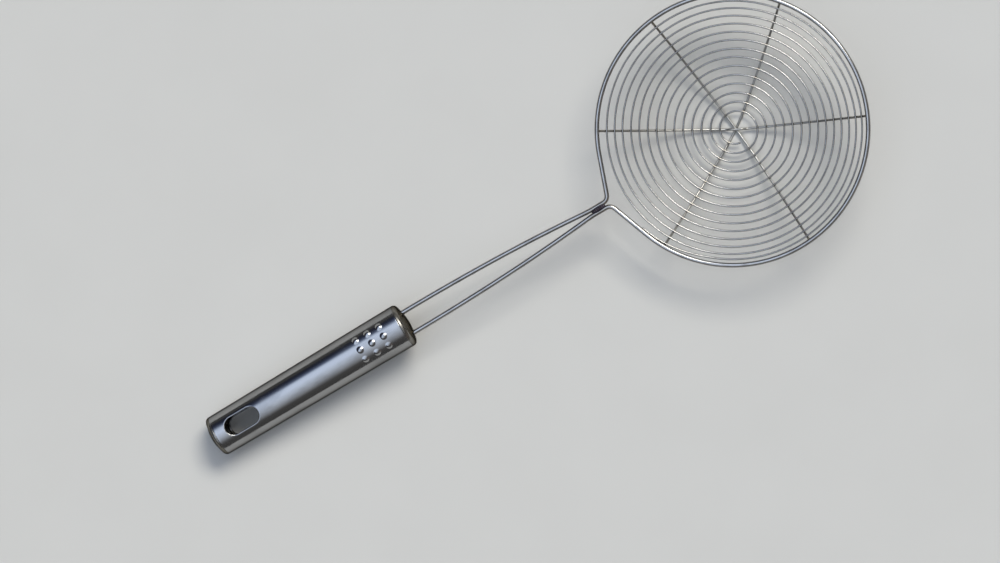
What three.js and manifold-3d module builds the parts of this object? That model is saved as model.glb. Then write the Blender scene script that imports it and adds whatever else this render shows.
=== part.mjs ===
// Wire skimmer: a spiral bowl on three ribs, a frame wire bent into rim, neck and stem, and a hollow handle.
// Millimetres, +Z up, as it lies on a table: it stands on the ribs' crossing and on the handle's butt.
import * as THREE from "three";
import { mergeVertices } from "three/addons/utils/BufferGeometryUtils.js";
import Module from "manifold-3d";

// Bowl. Angles are degrees round the bowl, anticlockwise from above, and 0 points away from the handle.
const BASKET_DIAMETER = 160; // over the rim
const BOWL_DEPTH = 31; // from the rim's centre line to the spiral's
const SPIRAL_WIRE = 1.1; // diameter
const SPIRAL_TURNS = 14.16;
const SPIRAL_EYE = 8; // from the bowl's centre to the inner end
const SPIRAL_START = 254.6; // angle of the inner end: the wire winds outwards clockwise
const CLOSING_TURNS = 0.84; // last part of the winding, which draws level with the rim
const LANDING_TURNS = 0.1; // very last part, which runs out to the rim and is fixed to it
const RIM_CLEARANCE = 2.7; // from the outer turn to the rim
const RIB_WIRE = 1.4; // diameter
const RIB_TOP_ENDS = [150, 334.9]; // angles of the rib's two ends
const RIB_MIDDLE_ENDS = [96.4, 274.1]; // angles, as above
const RIB_BOTTOM_ENDS = [38.8, 208.8]; // angles, as above
const CROSSING_RUN = 2.5; // half length of the level run where a rib crosses another
const DIP_REACH = 16; // how far from the centre the bottom rib starts to dip
const REST_FLAT = 0.35; // depth of the flat that the bottom rib stands on

// Frame wire
const FRAME_WIRE = 2.7; // diameter
const NECK_SPREAD = 20; // degrees each side of the stem at which the rim leaves its circle
const NECK_BEND = 3.8; // radius of the wire's bends from rim to stem
const NECK_RUN = 9; // length over which the legs run side by side
const NECK_GAP = 0.6; // between the legs there
const NECK_WELD_CROWN = 0.5; // height of the weld over the wires
const STEM_REACH = 219; // from the bowl's centre to the handle's front
const STEM_SPREAD = 13.4; // between the legs' centre lines at the handle
const LEG_FLARE = 5; // short run over which the legs start to part behind the neck
const LEG_SWEEP = 75; // long run over which they straighten towards the handle
const LEG_LEAD = 3; // straight lead of each leg into the handle
const LEG_INSERT = 14; // length of each leg inside the handle

// Handle
const HANDLE_LENGTH = 134.5;
const HANDLE_FRONT_DIAMETER = 26.6;
const HANDLE_BUTT_DIAMETER = 24.4;
const HANDLE_WALL = 0.8;
const CAP_SHOULDER = 2.6; // radius of the caps' rounded edges
const CAP_DOME = 1.8; // rise of the caps' faces
const CAP_WALL = 1;
const CAP_SKIRT = 5; // depth of the caps' skirts inside the tube
const SLOT_LENGTH = 21.8;
const SLOT_WIDTH = 10.6;
const SLOT_MARGIN = 1; // between the turned-in edge and the butt cap's skirt
const SLOT_LIP = 0.8; // thickness of the turned-in edge
const SLOT_LIP_DEPTH = 1.6; // how far the edge turns in below the wall
const DOT_COUNT = 3; // grip dots along the handle, and round it
const DOT_FIRST = 15.6; // from the front to the first dots
const DOT_PITCH = 7.9; // along the handle
const DOT_STEP = 28; // degrees round the handle
const DOT_WIDTH = 4.2;
const DOT_HEIGHT = 0.7;

// Clearance between pieces that are welded or pressed together on the real object
const SEAT_GAP = 0.3;

// Facets
const FRAME_SIDES = 8;
const SPIRAL_SIDES = 6;
const SPIRAL_STEPS = 32; // for each turn
const RIB_SIDES = 8;
const RIB_STEPS = 10; // from the rim to the crossing
const CROSSING_STEPS = 20;
const LEG_STEPS = 14; // from the neck to the handle
const ARC_STEP = 5.5; // degrees
const ROUND_STEPS = 5; // on a quarter round
const HANDLE_SEGMENTS = 40;
const DOT_SEGMENTS = 16;

const wasm = await Module();
wasm.setup();

const radians = THREE.MathUtils.degToRad;

// Materials
const polishedSteel = new THREE.MeshStandardMaterial({ color: 0xc9ccd0, roughness: 0.18, metalness: 1 });
const drawnWire = new THREE.MeshStandardMaterial({ color: 0xb9bcbe, roughness: 0.28, metalness: 1 });
const weldSteel = new THREE.MeshStandardMaterial({ color: 0x7d766c, roughness: 0.55, metalness: 1 });

// Sizes that follow from the ones above
const rimRadius = (BASKET_DIAMETER - FRAME_WIRE) / 2;
const bowlRadius = (rimRadius ** 2 + BOWL_DEPTH ** 2) / (2 * BOWL_DEPTH);
const rimArc = bowlRadius * 2 * Math.atan(BOWL_DEPTH / rimRadius);
const ribSeat = (SPIRAL_WIRE + RIB_WIRE) / 2 + SEAT_GAP;
const crossingRise = RIB_WIRE + SEAT_GAP;
const frameSeat = FRAME_WIRE / 2 + SEAT_GAP;
const legY = (FRAME_WIRE + NECK_GAP) / 2;
const neckSpread = radians(NECK_SPREAD);
const rimLeave = new THREE.Vector3(-rimRadius * Math.cos(neckSpread), rimRadius * Math.sin(neckSpread), 0);
const neckCorner = rimLeave.x - (rimLeave.y - legY) * Math.tan(neckSpread);
const neckX = neckCorner - NECK_BEND * Math.tan((Math.PI / 2 - neckSpread) / 2);
const capDepth = CAP_DOME + CAP_SHOULDER + CAP_SKIRT;
const slotStart = capDepth + SLOT_MARGIN + SLOT_LIP;
const restHeight = BOWL_DEPTH + ribSeat + crossingRise + RIB_WIRE / 2 - REST_FLAT;

// A route that puts one ring of a section at each of its points.
class Route extends THREE.Curve {
  constructor(points) {
    super();
    this.points = points;
    this.last = points.length - 1;
  }

  getPointAt(share, target = new THREE.Vector3()) {
    return target.copy(this.points[Math.round(share * this.last)]);
  }

  getTangentAt(share, target = new THREE.Vector3()) {
    const index = Math.round(share * this.last);
    const before = this.points[Math.max(index - 1, 0)];
    const after = this.points[Math.min(index + 1, this.last)];
    return target.subVectors(after, before).normalize();
  }
}

// Round wire along a list of points.
function wire(points, diameter, sides) {
  const circle = new THREE.EllipseCurve(0, 0, diameter / 2, diameter / 2);
  const section = new THREE.Shape(circle.getPoints(sides).slice(0, sides));
  return new THREE.ExtrudeGeometry(section, { steps: points.length - 1, extrudePath: new Route(points) });
}

// Points of a level arc, from one angle to another.
function arcPoints(x, y, radius, from, to) {
  const steps = Math.ceil(Math.abs(to - from) / radians(ARC_STEP));
  const arc = new THREE.EllipseCurve(x, y, radius, radius, from, to, to < from);
  return arc.getPoints(steps).map((point) => new THREE.Vector3(point.x, point.y, 0));
}

function solid(geometry) {
  const flat = geometry.index ? geometry.toNonIndexed() : geometry;
  const bare = new THREE.BufferGeometry().setAttribute("position", flat.getAttribute("position"));
  const merged = mergeVertices(bare);
  const vertProperties = merged.getAttribute("position").array;
  return new wasm.Manifold(new wasm.Mesh({ numProp: 3, vertProperties, triVerts: merged.index.array }));
}

function geometryOf(body) {
  const mesh = body.getMesh();
  return new THREE.BufferGeometry()
    .setAttribute("position", new THREE.BufferAttribute(mesh.vertProperties, 3))
    .setIndex(new THREE.BufferAttribute(mesh.triVerts, 1));
}

function piece(name, geometry, material) {
  const mesh = new THREE.Mesh(geometry, material);
  mesh.name = name;
  return mesh;
}

// Point on the bowl: distance from the centre along its profile, angle, and distance outside the spiral.
function bowlPoint(along, angle, outside) {
  const slope = along / bowlRadius;
  const radius = (bowlRadius + outside) * Math.sin(slope);
  const height = bowlRadius - BOWL_DEPTH - (bowlRadius + outside) * Math.cos(slope);
  return new THREE.Vector3(radius * Math.cos(angle), radius * Math.sin(angle), height);
}

// Spiral: even spacing along the bowl's profile, easing to none in the closing turn, and an end on the rim.
function spiralPoints() {
  const outerArc = rimArc - FRAME_WIRE / 2 - SPIRAL_WIRE / 2 - RIM_CLEARANCE;
  const pitch = (outerArc - SPIRAL_EYE) / (SPIRAL_TURNS - CLOSING_TURNS / 2);
  const steps = Math.ceil(SPIRAL_TURNS * SPIRAL_STEPS);
  return Array.from({ length: steps + 1 }, (_, step) => {
    const turns = (SPIRAL_TURNS * step) / steps;
    const closing = Math.max(0, turns - (SPIRAL_TURNS - CLOSING_TURNS));
    const winding = SPIRAL_EYE + pitch * (turns - closing ** 2 / (2 * CLOSING_TURNS));
    const landing = THREE.MathUtils.smoothstep(turns, SPIRAL_TURNS - LANDING_TURNS, SPIRAL_TURNS);
    const along = winding + landing * (RIM_CLEARANCE - SEAT_GAP);
    return bowlPoint(along, radians(SPIRAL_START - 360 * turns), 0);
  });
}

// Least clear distance between neighbouring turns of a winding, measured between its points.
function leastGap(points, diameter, stepsPerTurn) {
  let least = Infinity;
  points.forEach((point, index) => {
    for (const other of points.slice(index + stepsPerTurn / 2)) {
      least = Math.min(least, point.distanceTo(other));
    }
  });
  return least - diameter;
}

function heading(angle) {
  return new THREE.Vector2(Math.cos(radians(angle)), Math.sin(radians(angle)));
}

// Rib: straight in plan from each end towards the centre, where it bends to its other end and passes
// over (level 1), between (0) or under (-1) the other ribs.
function rib(ends, level) {
  const zone = level > 0 ? SPIRAL_EYE - (SPIRAL_WIRE + RIB_WIRE) / 2 : DIP_REACH;
  const endArc = rimArc - Math.sqrt(frameSeat ** 2 - (ribSeat - RIB_WIRE / 2) ** 2);
  const [first, second] = ends.map(heading);
  const plan = new THREE.Path();
  plan.moveTo(first.x * endArc, first.y * endArc);
  plan.lineTo(first.x * zone, first.y * zone);
  plan.quadraticCurveTo(0, 0, second.x * zone, second.y * zone);
  plan.lineTo(second.x * endArc, second.y * endArc);
  const [inward, across, outward] = plan.curves;
  const route = [
    ...inward.getPoints(RIB_STEPS),
    ...across.getPoints(CROSSING_STEPS).slice(1),
    ...outward.getPoints(RIB_STEPS).slice(1),
  ];
  const points = route.map((point) => {
    const along = point.length();
    const rise = level * crossingRise * (1 - THREE.MathUtils.smoothstep(along, CROSSING_RUN, zone));
    return bowlPoint(along, point.angle(), ribSeat - rise);
  });
  return wire(points, RIB_WIRE, RIB_SIDES);
}

// Angle at which the rim tilts when the butt's rounded edge comes down to the table.
function restTilt() {
  const reach = -STEM_REACH - HANDLE_LENGTH + CAP_DOME + CAP_SHOULDER;
  const drop = restHeight - (HANDLE_BUTT_DIAMETER / 2 - CAP_SHOULDER);
  return Math.PI - Math.asin(CAP_SHOULDER / Math.hypot(reach, drop)) - Math.atan2(drop, reach);
}

// Bottom rib with the flat, level with the table, that the bowl stands on.
function bottomRib(tilt) {
  const depth = RIB_WIRE;
  const below = new THREE.BoxGeometry(2 * rimRadius, 2 * rimRadius, depth);
  below.translate(0, 0, -depth / 2).rotateY(tilt).translate(0, 0, -restHeight);
  return geometryOf(solid(rib(RIB_BOTTOM_ENDS, -1)).subtract(solid(below)));
}

// Half of the frame wire, from where the rim leaves its circle to the end of the leg in the handle.
// Behind the neck the leg bows out and comes parallel to the handle.
function legPoints() {
  const parting = new THREE.Vector3(neckX - NECK_RUN, legY, 0);
  const entry = new THREE.Vector3(LEG_LEAD - STEM_REACH, STEM_SPREAD / 2, 0);
  const bow = new THREE.CubicBezierCurve3(
    parting,
    new THREE.Vector3(parting.x - LEG_FLARE, parting.y, 0),
    new THREE.Vector3(entry.x + LEG_SWEEP, entry.y, 0),
    entry,
  );
  return [
    rimLeave,
    ...arcPoints(neckX, legY + NECK_BEND, NECK_BEND, -neckSpread, -Math.PI / 2),
    ...bow.getPoints(LEG_STEPS),
    new THREE.Vector3(-STEM_REACH - LEG_INSERT, STEM_SPREAD / 2, 0),
  ];
}

function framePoints() {
  const leg = legPoints();
  const otherLeg = leg.map((point) => new THREE.Vector3(point.x, -point.y, point.z)).reverse();
  const rimEnd = Math.PI - neckSpread;
  const rim = arcPoints(0, 0, rimRadius, -rimEnd, rimEnd).slice(1, -1);
  return [...otherLeg, ...rim, ...leg];
}

// Weld run that lies in the valley between the two legs.
function neckWeld() {
  const valley = Math.sqrt(Math.max(0, frameSeat ** 2 - legY ** 2));
  const edge = Math.sqrt(frameSeat ** 2 - (FRAME_WIRE / 2) ** 2);
  const tipAngle = Math.atan2(valley, -legY);
  const edgeAngle = Math.atan2(FRAME_WIRE / 2, -edge);
  const section = new THREE.Shape();
  section.absarc(legY, 0, frameSeat, tipAngle, edgeAngle, true);
  section.quadraticCurveTo(0, FRAME_WIRE / 2 + 2 * NECK_WELD_CROWN, edge - legY, FRAME_WIRE / 2);
  section.absarc(-legY, 0, frameSeat, Math.PI - edgeAngle, Math.PI - tipAngle, true);
  const bead = new THREE.ExtrudeGeometry(section, {
    depth: NECK_RUN,
    bevelEnabled: false,
    curveSegments: ROUND_STEPS,
  });
  return bead.rotateY(Math.PI / 2).rotateX(Math.PI / 2).translate(neckX - NECK_RUN, 0, 0);
}

// Solid of revolution about the handle's axis. A profile point is (radius, distance back from the front).
function turned(profile) {
  const shape = new THREE.LatheGeometry(profile, HANDLE_SEGMENTS, Math.PI / HANDLE_SEGMENTS);
  return shape.rotateZ(Math.PI / 2);
}

function handleRadius(back) {
  const share = back / HANDLE_LENGTH;
  return THREE.MathUtils.lerp(HANDLE_FRONT_DIAMETER, HANDLE_BUTT_DIAMETER, share) / 2;
}

const tubeStart = CAP_DOME + CAP_SHOULDER + SEAT_GAP;
const tubeEnd = HANDLE_LENGTH - tubeStart;

// Solid core of the tube, at a depth below its outer surface.
function tubeCore(depth) {
  return solid(
    turned([
      new THREE.Vector2(0, tubeStart),
      new THREE.Vector2(handleRadius(tubeStart) - depth, tubeStart),
      new THREE.Vector2(handleRadius(tubeEnd) - depth, tubeEnd),
      new THREE.Vector2(0, tubeEnd),
    ]),
  );
}

// Upright block with round ends at the hanging slot, wider than the slot by a margin all round.
function slotBlock(margin) {
  const end = SLOT_WIDTH / 2 + margin;
  const half = (SLOT_LENGTH - SLOT_WIDTH) / 2;
  const outline = new THREE.Shape();
  outline.absarc(half, 0, end, -Math.PI / 2, Math.PI / 2);
  outline.absarc(-half, 0, end, Math.PI / 2, 1.5 * Math.PI);
  const height = 2 * HANDLE_FRONT_DIAMETER;
  const block = new THREE.ExtrudeGeometry(outline, {
    depth: height,
    bevelEnabled: false,
    curveSegments: 2 * ROUND_STEPS,
  });
  return solid(block.translate(slotStart + SLOT_LENGTH / 2 - HANDLE_LENGTH, 0, -height / 2));
}

// Grip dots: low domes pressed out of the top of the handle.
function gripDots() {
  const domeRadius = ((DOT_WIDTH / 2) ** 2 + DOT_HEIGHT ** 2) / (2 * DOT_HEIGHT);
  const dots = [];
  for (let along = 0; along < DOT_COUNT; along += 1) {
    for (let round = 0; round < DOT_COUNT; round += 1) {
      const back = DOT_FIRST + along * DOT_PITCH;
      const turn = radians((round - (DOT_COUNT - 1) / 2) * DOT_STEP);
      const dome = new THREE.SphereGeometry(domeRadius, DOT_SEGMENTS, DOT_SEGMENTS);
      dome.rotateX(Math.PI / 2);
      dome.translate(-back, 0, handleRadius(back) + DOT_HEIGHT - domeRadius).rotateX(turn);
      dots.push(solid(dome));
    }
  }
  return dots;
}

function handleTube() {
  const bore = tubeCore(HANDLE_WALL);
  const lip = slotBlock(SLOT_LIP).intersect(tubeCore(0)).subtract(tubeCore(HANDLE_WALL + SLOT_LIP_DEPTH));
  const dotted = gripDots().reduce((body, dot) => body.add(dot), tubeCore(0));
  return geometryOf(dotted.subtract(bore).add(lip).subtract(slotBlock(0)));
}

// Cup-shaped cap: a domed face with a rounded edge, flush with the tube, and a skirt inside it.
// The face and the skirt's end are given by their distances back from the handle's front.
function cap(faceBack, skirtBack) {
  const radius = handleRadius(faceBack);
  const skirt = Math.min(radius, handleRadius(skirtBack)) - HANDLE_WALL - SEAT_GAP;
  const rim = CAP_DOME + CAP_SHOULDER;
  const edge = radius - CAP_SHOULDER;
  const face = new THREE.QuadraticBezierCurve(
    new THREE.Vector2(0, 0),
    new THREE.Vector2(edge / 2, 0),
    new THREE.Vector2(edge, CAP_DOME),
  );
  const shoulder = new THREE.EllipseCurve(edge, rim, CAP_SHOULDER, CAP_SHOULDER, -Math.PI / 2, 0);
  return turned([
    ...face.getPoints(ROUND_STEPS),
    ...shoulder.getPoints(ROUND_STEPS).slice(1),
    new THREE.Vector2(skirt, rim),
    new THREE.Vector2(skirt, capDepth),
    new THREE.Vector2(skirt - CAP_WALL, capDepth),
    new THREE.Vector2(skirt - CAP_WALL, CAP_DOME + CAP_WALL),
    new THREE.Vector2(0, CAP_DOME + CAP_WALL),
  ]);
}

// Front cap with a hole for each leg.
function frontCap() {
  const holes = [-1, 1].map((side) => {
    const drill = new THREE.CylinderGeometry(frameSeat, frameSeat, 2 * capDepth, DOT_SEGMENTS);
    return solid(drill.rotateZ(Math.PI / 2).translate(0, (side * STEM_SPREAD) / 2, 0));
  });
  return geometryOf(holes.reduce((body, hole) => body.subtract(hole), solid(cap(0, capDepth))));
}

// Basket and stem
const spiralRoute = spiralPoints();
const spiralGap = leastGap(spiralRoute, SPIRAL_WIRE, SPIRAL_STEPS);
console.log(`least gap between turns of the spiral: ${spiralGap.toFixed(2)} mm`);

const tilt = restTilt();
const basket = new THREE.Group();
basket.add(
  piece("frame_wire", wire(framePoints(), FRAME_WIRE, FRAME_SIDES), drawnWire),
  piece("spiral_wire", wire(spiralRoute, SPIRAL_WIRE, SPIRAL_SIDES), drawnWire),
  piece("rib_top", rib(RIB_TOP_ENDS, 1), drawnWire),
  piece("rib_middle", rib(RIB_MIDDLE_ENDS, 0), drawnWire),
  piece("rib_bottom", bottomRib(tilt), drawnWire),
  piece("neck_weld", neckWeld(), weldSteel),
);

// Handle, from its front face back
const handle = new THREE.Group();
handle.position.x = -STEM_REACH;
const endCap = piece("end_cap", cap(HANDLE_LENGTH, HANDLE_LENGTH - capDepth), polishedSteel);
endCap.position.x = -HANDLE_LENGTH;
endCap.rotation.z = Math.PI;
handle.add(
  piece("handle_tube", handleTube(), polishedSteel),
  piece("front_cap", frontCap(), polishedSteel),
  endCap,
);

// The whole skimmer lies on the table, with its origin under the middle of its box.
const tool = new THREE.Group();
tool.add(basket, handle);
tool.rotation.y = -tilt;
const box = new THREE.Box3().setFromObject(tool, true);
const middle = box.getCenter(new THREE.Vector3());
tool.position.set(-middle.x, -middle.y, -box.min.z);

const skimmer = new THREE.Group();
skimmer.add(tool);

export default skimmer;
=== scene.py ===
"""Looks of a wire skimmer with a spiral bowl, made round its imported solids.

Every piece is worked out in millimetres in the tool's own frame: origin at the bowl's centre on the rim's
plane, +X away from the handle, +Z up out of the bowl. One placement turns that frame into the row frame, in
metres, with the tool lying on its table.
"""

from __future__ import annotations

import logging
import math
from dataclasses import dataclass
from enum import Enum

import bmesh
import bpy
import numpy as np
from mathutils import Matrix, Vector

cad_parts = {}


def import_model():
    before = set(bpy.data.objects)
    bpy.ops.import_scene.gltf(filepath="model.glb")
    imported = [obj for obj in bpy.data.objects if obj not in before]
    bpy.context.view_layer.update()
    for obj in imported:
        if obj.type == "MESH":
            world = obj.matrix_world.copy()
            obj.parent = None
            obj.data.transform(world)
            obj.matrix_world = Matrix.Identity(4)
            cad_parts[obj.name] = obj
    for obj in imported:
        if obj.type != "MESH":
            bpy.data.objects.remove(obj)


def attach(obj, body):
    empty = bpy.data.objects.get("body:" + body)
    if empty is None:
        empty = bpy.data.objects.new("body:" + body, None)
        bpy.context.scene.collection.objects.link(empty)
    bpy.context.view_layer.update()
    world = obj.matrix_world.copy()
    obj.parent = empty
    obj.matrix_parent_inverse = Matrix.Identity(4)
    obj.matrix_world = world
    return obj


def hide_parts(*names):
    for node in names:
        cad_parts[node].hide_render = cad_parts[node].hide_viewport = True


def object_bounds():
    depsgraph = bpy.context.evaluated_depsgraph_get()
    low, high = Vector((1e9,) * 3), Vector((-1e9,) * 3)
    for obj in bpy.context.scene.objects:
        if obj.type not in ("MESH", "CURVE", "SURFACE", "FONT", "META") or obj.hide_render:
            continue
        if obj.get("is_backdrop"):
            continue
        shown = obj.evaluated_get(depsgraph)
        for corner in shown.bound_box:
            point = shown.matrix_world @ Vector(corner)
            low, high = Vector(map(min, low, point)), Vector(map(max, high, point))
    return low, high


Array = np.ndarray
LOG = logging.getLogger("skimmer")

BODY = "root"
GRAIN = "grain"  # point attribute: pattern coordinates straightened along a piece, in metres
HEAT = "heat_tint"  # point attribute: share of heat tint
MM = 0.001
MERGE_MM = 0.002  # points closer than this are one point
UP = np.array([0.0, 0.0, 1.0])
TIP_ANGLES = (84.0, 62.0, 40.0, 20.0)  # degrees up a wire's rounded tip at which its rings lie
TIP_BULGE = 0.6  # length of a wire's tip, as a share of its radius
LUMP_RINGS = 5  # rings of points on a small lump of weld
LUMP_SIDES = 8  # points on each of those rings
LUMP_POLE = 78.0  # degrees up the lump at which its last ring lies
# Colours that heat leaves on steel, for each share of heat: clean, straw, brown, dark blue and grey scale.
HEAT_COLOURS = {0.0: "#ffffff", 0.3: "#d9cdb8", 0.55: "#938682", 0.8: "#43455c", 1.0: "#55524f"}


def smoothstep(low: float, high: float, value: Array) -> Array:
    """Ease as a cubic from 0 at the low value to 1 at the high one.

    Args:
        low: value that gives 0.
        high: value that gives 1.
        value: where to work it out.

    Returns:
        The eased shares, 3 s^2 - 2 s^3 of the clipped straight share s.
    """
    share = np.clip((value - low) / (high - low), 0.0, 1.0)
    return share * share * (3.0 - 2.0 * share)


def unit(vectors: Array) -> Array:
    """Scale vectors, along the last axis, to a length of one."""
    return vectors / np.linalg.norm(vectors, axis=-1, keepdims=True)


def linear_colour(code: str) -> tuple[float, float, float, float]:
    """Turn an sRGB hex colour into linear RGBA.

    Args:
        code: the colour, such as "#c9ccd0".

    Returns:
        Linear red, green and blue, and an alpha of 1.
    """
    values = np.array([int(code[at : at + 2], 16) for at in (1, 3, 5)]) / 255.0
    linear = np.where(values <= 0.04045, values / 12.92, ((values + 0.055) / 1.055) ** 2.4)
    return (*linear.tolist(), 1.0)


def add_node(tree: bpy.types.NodeTree, kind: str, inputs: dict | None = None, **settings) -> bpy.types.Node:
    """Add a node to a tree, with its settings, values and links.

    Args:
        tree: the node tree.
        kind: the node's type.
        inputs: for a socket's name or number, its value, or the output socket that is linked to it.
        **settings: the node's own properties.

    Returns:
        The node.
    """
    node = tree.nodes.new(kind)
    for name, value in settings.items():
        setattr(node, name, value)
    for name, value in (inputs or {}).items():
        if isinstance(value, bpy.types.NodeSocket):
            tree.links.new(value, node.inputs[name])
        else:
            node.inputs[name].default_value = value
    return node


def cleared_tree(owner: bpy.types.Material | bpy.types.World) -> bpy.types.NodeTree:
    """Switch on the nodes of a material or a world, and remove those that it starts with."""
    owner.use_nodes = True
    owner.node_tree.nodes.clear()
    return owner.node_tree


def set_ramp(node: bpy.types.Node, stops: list[tuple[float, tuple[float, float, float, float]]]) -> None:
    """Give a colour ramp its stops.

    Args:
        node: the ramp's node.
        stops: position and colour of each stop, in order.
    """
    elements = node.color_ramp.elements
    while len(elements) < len(stops):
        elements.new(1.0)
    for element, (position, colour) in zip(elements, stops):
        element.position = position
        element.color = colour


@dataclass(frozen=True)
class Placement:
    """Place of the tool's frame in the row frame.

    Attributes:
        tilt: angle of the rim's plane to the table, in radians.
        shift: place of the tool's origin, in millimetres.
    """

    tilt: float
    shift: tuple[float, float, float]

    def row(self, points: Array) -> Array:
        """Turn tool millimetres into row metres: a turn by the tilt about Y, then the shift.

        Args:
            points: points in the tool's frame.

        Returns:
            The points in the row frame.
        """
        x, y, z = np.moveaxis(points, -1, 0)
        cosine, sine = math.cos(self.tilt), math.sin(self.tilt)
        turned = np.stack([x * cosine - z * sine, y, x * sine + z * cosine], axis=-1)
        return (turned + np.array(self.shift)) * MM


@dataclass
class Surface:
    """A mesh in the making, in tool millimetres.

    Attributes:
        points: the points, one row each.
        faces: each face's point numbers.
        grain: pattern coordinates of the points, straightened along the piece.
        heat: share of heat tint at the points.
    """

    points: Array
    faces: list[list[int]]
    grain: Array
    heat: Array

    @classmethod
    def joined(cls, parts: list[Surface]) -> Surface:
        """Join surfaces into one, with their faces renumbered."""
        starts = np.cumsum([0] + [len(part.points) for part in parts[:-1]])
        faces = [
            (np.array(face) + start).tolist()
            for part, start in zip(parts, starts)
            for face in part.faces
        ]
        return cls(
            np.concatenate([part.points for part in parts]),
            faces,
            np.concatenate([part.grain for part in parts]),
            np.concatenate([part.heat for part in parts]),
        )

    @classmethod
    def cold(cls, points: Array, faces: list[list[int]], front: float) -> Surface:
        """Make a surface without heat tint, whose grain is measured from the handle's front."""
        flat = points.reshape(-1, 3)
        return cls(flat, faces, flat - [front, 0.0, 0.0], np.zeros(len(flat)))


def grid_faces(rows: int, columns: int, close_rows: bool = False, close_columns: bool = True) -> Array:
    """Number the quads of a grid of points that are stored row by row.

    Args:
        rows: rows of points.
        columns: points in a row.
        close_rows: whether the last row joins the first.
        close_columns: whether each row is a closed ring.

    Returns:
        An array of rows x columns x 4 point numbers, one quad for each step that the grid has.
    """
    row = np.arange(rows if close_rows else rows - 1)[:, None]
    column = np.arange(columns if close_columns else columns - 1)[None, :]
    next_row = (row + 1) % rows
    next_column = (column + 1) % columns
    corners = (
        row * columns + column,
        row * columns + next_column,
        next_row * columns + next_column,
        next_row * columns + column,
    )
    return np.stack(np.broadcast_arrays(*corners), axis=-1)


def capped_tube(rows: int, sides: int) -> list[list[int]]:
    """Number the faces of a tube made of rings of points, with a lid at each end."""
    first = list(range(sides))
    last = [(rows - 1) * sides + number for number in first]
    return grid_faces(rows, sides).reshape(-1, 4).tolist() + [first[::-1], last]


def ring_angles(count: int) -> Array:
    """Angles of evenly spaced points round a ring, in radians."""
    return np.arange(count) * (2 * math.pi / count)


def run_length(points: Array) -> Array:
    """Running length along a route, from 0 at its first point."""
    return np.concatenate([[0.0], np.cumsum(np.linalg.norm(np.diff(points, axis=0), axis=1))])


def resampled(points: Array, step: float) -> Array:
    """Space points evenly along a route, by its running length.

    Args:
        points: corners of the route.
        step: wanted spacing.

    Returns:
        Evenly spaced points from end to end.
    """
    length = run_length(points)
    wanted = np.linspace(0.0, length[-1], max(2, math.ceil(length[-1] / step) + 1))
    return np.stack([np.interp(wanted, length, points[:, axis]) for axis in range(points.shape[1])], axis=1)


def softened(points: Array, reach: int) -> Array:
    """Round a route's corners: each point becomes the bell-weighted mean of those within reach.

    Args:
        points: evenly spaced points.
        reach: points on each side that count.

    Returns:
        As many points, with the two ends where they were.
    """
    bell = np.hanning(2 * reach + 3)[1:-1]
    bell /= bell.sum()
    lead = np.arange(reach, 0, -1)[:, None]
    head = points[0] + lead * (points[0] - points[1])
    tail = points[-1] + lead[::-1] * (points[-1] - points[-2])
    padded = np.concatenate([head, points, tail])
    return np.stack([np.convolve(padded[:, axis], bell, "valid") for axis in range(points.shape[1])], axis=1)


def swept_wire(route: Array, normal: Array, diameter: float, sides: int, heat: Array) -> Surface:
    """Carry a circle along a route, with rounded tips.

    Point (i, j) is route_i + r_i (n_i cos a_j + b_i sin a_j).

    Args:
        route: points of the wire's centre line.
        normal: a direction off the route at each point.
        diameter: the wire's.
        sides: points round the wire.
        heat: share of heat tint at each point of the route.

    Returns:
        The closed surface, with grain coordinates as on the straightened wire.
    """
    radius = diameter / 2
    tip = np.radians(TIP_ANGLES)
    ahead = unit(route[-1] - route[-2])
    back = unit(route[0] - route[1])
    bulge = TIP_BULGE * radius
    route = np.concatenate(
        [
            route[0] + back * bulge * np.sin(tip)[:, None],
            route,
            route[-1] + ahead * bulge * np.sin(tip[::-1])[:, None],
        ]
    )
    ends = len(tip)
    normal = np.pad(normal, ((ends, ends), (0, 0)), mode="edge")
    heat = np.pad(heat, (ends, ends), mode="edge")
    radii = np.concatenate([np.cos(tip), np.ones(len(route) - 2 * ends), np.cos(tip[::-1])]) * radius
    tangent = unit(np.gradient(route, axis=0))
    normal = unit(normal - np.sum(normal * tangent, axis=1, keepdims=True) * tangent)
    across = np.cross(tangent, normal)
    angle = ring_angles(sides)
    ring = np.cos(angle)[:, None] * normal[:, None, :] + np.sin(angle)[:, None] * across[:, None, :]
    points = route[:, None, :] + radii[:, None, None] * ring
    around = radii[:, None, None] * np.stack([np.cos(angle), np.sin(angle)], axis=1)
    along = np.broadcast_to(run_length(route)[:, None, None], (len(route), sides, 1))
    return Surface(
        points.reshape(-1, 3),
        capped_tube(len(route), sides),
        np.concatenate([along, around], axis=2).reshape(-1, 3),
        np.repeat(heat, sides),
    )


def revolved(back: Array, radius: Array, front: float, segments: int) -> Surface:
    """Turn a profile about the handle's axis: point (i, j) is (front - back_i, r_i sin a_j, r_i cos a_j).

    Args:
        back: distance of each profile point back from the front.
        radius: distance of each profile point from the axis.
        front: place of the handle's front along X.
        segments: points round the axis.

    Returns:
        The surface, open only where the profile leaves the axis.
    """
    angle = ring_angles(segments)
    x = np.broadcast_to((front - back)[:, None], (len(back), segments))
    points = np.stack([x, radius[:, None] * np.sin(angle), radius[:, None] * np.cos(angle)], axis=-1)
    return Surface.cold(points, grid_faces(len(back), segments).reshape(-1, 4).tolist(), front)


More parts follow.
